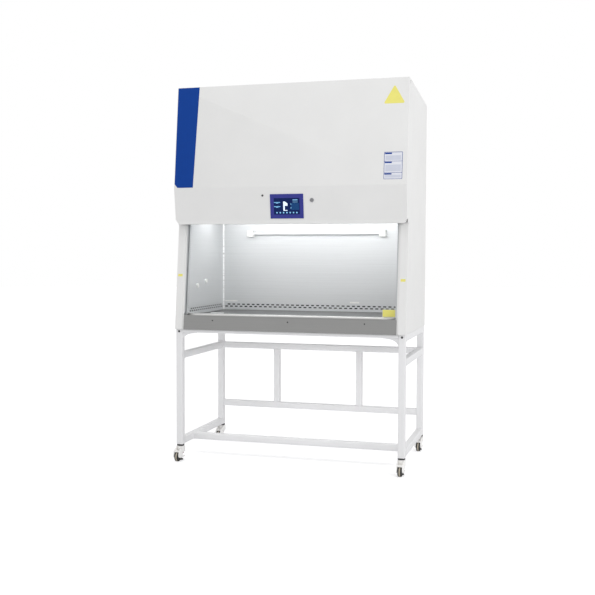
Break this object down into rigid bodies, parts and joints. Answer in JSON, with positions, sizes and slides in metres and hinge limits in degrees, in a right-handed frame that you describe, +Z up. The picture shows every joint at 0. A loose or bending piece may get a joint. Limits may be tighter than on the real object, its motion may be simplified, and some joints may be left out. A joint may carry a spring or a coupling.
{
  "type": "biosafety cabinet",
  "caption": "Floor-standing safety cabinet: sloped open front, hinged head cover with touch screen, stainless chamber, sliding sash and a tubular stand on levelling casters.",
  "frame": {"origin": "on the floor, under the middle of the cabinet", "axes": "+X to the operator's right, +Y to the back of the cabinet, +Z up; the opening faces -Y"},
  "size_m": [1.4, 0.81, 2.25],
  "materials": {
    "casing_paint": "semi-gloss off-white powder coat",
    "stand_paint": "semi-gloss white powder coat",
    "chamber_steel": "fine brushed stainless sheet",
    "apron_steel": "brushed stainless sheet, long grain",
    "zinc_sheet": "galvanised sheet",
    "track_alloy": "anodised",
    "filter_frame": "mill finish frame, white media",
    "weight_steel": "dark primer",
    "shaft_steel": "bright steel",
    "motor_casting": "dark enamel",
    "impeller_alloy": "plain sheet",
    "sash_glass": "clear laminated safety glass",
    "lamp_glass": "clear lamp tube with white ends",
    "white_plastic": "moulded",
    "black_plastic": "moulded",
    "bezel_plastic": "deep blue-violet film",
    "screen_glass": "dark blue display",
    "lens_plastic": "smoked lens",
    "key_chrome": "polished",
    "black_steel": "black finish",
    "caster_paint": "ivory paint",
    "wheel_plastic": "black nylon",
    "foot_steel": "dark pad and screw"
  },
  "bodies": {
    "cabinet": {"armrest_sill": "apron_steel", "base_pan": "apron_steel", "blower_housing": "zinc_sheet", "blower_motor": "motor_casting", "diffuser_screen": "chamber_steel", "electrical_box": "casing_paint", "exhaust_collar": "zinc_sheet", "exhaust_filter": "filter_frame", "front_apron": "apron_steel", "front_grille": "chamber_steel", "inner_wall_left": "chamber_steel", "inner_wall_rear": "chamber_steel", "inner_wall_right": "chamber_steel", "pillar_left": "casing_paint", "pillar_right": "casing_paint", "plenum_box": "zinc_sheet", "plenum_brackets": "zinc_sheet", "power_inlet": "black_plastic", "rear_panel": "casing_paint", "roof_panel": "casing_paint", "sash_tracks": "track_alloy", "service_plugs": "white_plastic", "side_panel_left": "casing_paint", "side_panel_right": "casing_paint", "socket_boxes": "white_plastic", "stand_fasteners": "black_steel", "stand_lower_rails": "stand_paint", "stand_mid_rails": "stand_paint", "stand_posts": "stand_paint", "stand_top_frame": "stand_paint", "supply_filter": "filter_frame", "uv_lamp_holders": "white_plastic", "uv_lamp_tube": "lamp_glass", "work_light": "white_plastic"},
    "front_cover": {"front_cover": "casing_paint", "screen_bezel": "bezel_plastic", "touch_screen": "screen_glass", "status_lens": "lens_plastic"},
    "key_switch": {"key_switch": "key_chrome"},
    "sash": {"sash_glass": "sash_glass", "sash_handle": "track_alloy"},
    "counterweights": {"counterweights": "weight_steel"},
    "sync_shaft": {"sync_shaft": "shaft_steel"},
    "work_tray": {"work_tray": "chamber_steel", "tray_ribs": "chamber_steel"},
    "socket_flap_front": {"socket_flap_front": "white_plastic"},
    "socket_flap_rear": {"socket_flap_rear": "white_plastic"},
    "fan_impeller": {"fan_impeller": "impeller_alloy"},
    "caster_fl": {"caster_housing_fl": "caster_paint"},
    "wheel_fl": {"caster_wheel_fl": "wheel_plastic"},
    "foot_fl": {"levelling_foot_fl": "foot_steel"},
    "caster_fr": {"caster_housing_fr": "caster_paint"},
    "wheel_fr": {"caster_wheel_fr": "wheel_plastic"},
    "foot_fr": {"levelling_foot_fr": "foot_steel"},
    "caster_rl": {"caster_housing_rl": "caster_paint"},
    "wheel_rl": {"caster_wheel_rl": "wheel_plastic"},
    "foot_rl": {"levelling_foot_rl": "foot_steel"},
    "caster_rr": {"caster_housing_rr": "caster_paint"},
    "wheel_rr": {"caster_wheel_rr": "wheel_plastic"},
    "foot_rr": {"levelling_foot_rr": "foot_steel"}
  },
  "joints": [
    {"name": "cover_hinge", "type": "hinge", "parent": "cabinet", "child": "front_cover", "pos_m": [0, -0.256, 2.24], "axis": [-1, 0, 0], "range_deg": [0, 75]},
    {"name": "key_turn", "type": "hinge", "parent": "front_cover", "child": "key_switch", "pos_m": [0.151, -0.35975, 1.56506], "axis": [0, -0.9919, -0.1272], "range_deg": [-90, 0]},
    {"name": "sash_slide", "type": "slide", "parent": "cabinet", "child": "sash", "axis": [0, -0.1104, -0.9939], "range_m": [0, 0.529]},
    {"name": "counterweight_slide", "type": "slide", "parent": "cabinet", "child": "counterweights", "axis": [0, 0, 1], "range_m": [0, 0.53]},
    {"name": "sync_spin", "type": "hinge", "parent": "cabinet", "child": "sync_shaft", "pos_m": [0, -0.178, 2.04], "axis": [1, 0, 0], "range_deg": [0, 1020]},
    {"name": "tray_lift", "type": "slide", "parent": "cabinet", "child": "work_tray", "axis": [0, 0, 1], "range_m": [0, 0.06]},
    {"name": "flap_front_hinge", "type": "hinge", "parent": "cabinet", "child": "socket_flap_front", "pos_m": [0.613, -0.09, 1.119], "axis": [0, 1, 0], "range_deg": [0, 100], "stiffness_Nm_per_rad": 0.02, "springref_deg": -17.19},
    {"name": "flap_rear_hinge", "type": "hinge", "parent": "cabinet", "child": "socket_flap_rear", "pos_m": [0.613, 0.01, 1.119], "axis": [0, 1, 0], "range_deg": [0, 100], "stiffness_Nm_per_rad": 0.02, "springref_deg": -17.19},
    {"name": "fan_spin", "type": "hinge", "parent": "cabinet", "child": "fan_impeller", "pos_m": [0, 0.229, 1.785], "axis": [0, 1, 0], "continuous": true},
    {"name": "swivel_fl", "type": "hinge", "parent": "cabinet", "child": "caster_fl", "pos_m": [-0.678, -0.331, 0.09], "axis": [0, 0, 1], "continuous": true},
    {"name": "roll_fl", "type": "hinge", "parent": "caster_fl", "child": "wheel_fl", "pos_m": [-0.678, -0.377, 0.028], "axis": [1, 0, 0], "continuous": true},
    {"name": "level_fl", "type": "slide", "parent": "caster_fl", "child": "foot_fl", "axis": [0, 0, -1], "range_m": [0, 0.012]},
    {"name": "swivel_fr", "type": "hinge", "parent": "cabinet", "child": "caster_fr", "pos_m": [0.678, -0.331, 0.09], "axis": [0, 0, 1], "continuous": true},
    {"name": "roll_fr", "type": "hinge", "parent": "caster_fr", "child": "wheel_fr", "pos_m": [0.678, -0.377, 0.028], "axis": [1, 0, 0], "continuous": true},
    {"name": "level_fr", "type": "slide", "parent": "caster_fr", "child": "foot_fr", "axis": [0, 0, -1], "range_m": [0, 0.012]},
    {"name": "swivel_rl", "type": "hinge", "parent": "cabinet", "child": "caster_rl", "pos_m": [-0.678, 0.375, 0.09], "axis": [0, 0, 1], "continuous": true},
    {"name": "roll_rl", "type": "hinge", "parent": "caster_rl", "child": "wheel_rl", "pos_m": [-0.678, 0.329, 0.028], "axis": [1, 0, 0], "continuous": true},
    {"name": "level_rl", "type": "slide", "parent": "caster_rl", "child": "foot_rl", "axis": [0, 0, -1], "range_m": [0, 0.012]},
    {"name": "swivel_rr", "type": "hinge", "parent": "cabinet", "child": "caster_rr", "pos_m": [0.678, 0.375, 0.09], "axis": [0, 0, 1], "continuous": true},
    {"name": "roll_rr", "type": "hinge", "parent": "caster_rr", "child": "wheel_rr", "pos_m": [0.678, 0.329, 0.028], "axis": [1, 0, 0], "continuous": true},
    {"name": "level_rr", "type": "slide", "parent": "caster_rr", "child": "foot_rr", "axis": [0, 0, -1], "range_m": [0, 0.012]}
  ],
  "couplings": [
    {"joint": "counterweight_slide", "follows": "sash_slide", "ratio": 1},
    {"joint": "sync_spin", "follows": "sash_slide", "rad_per_m": 33.333}
  ]
}
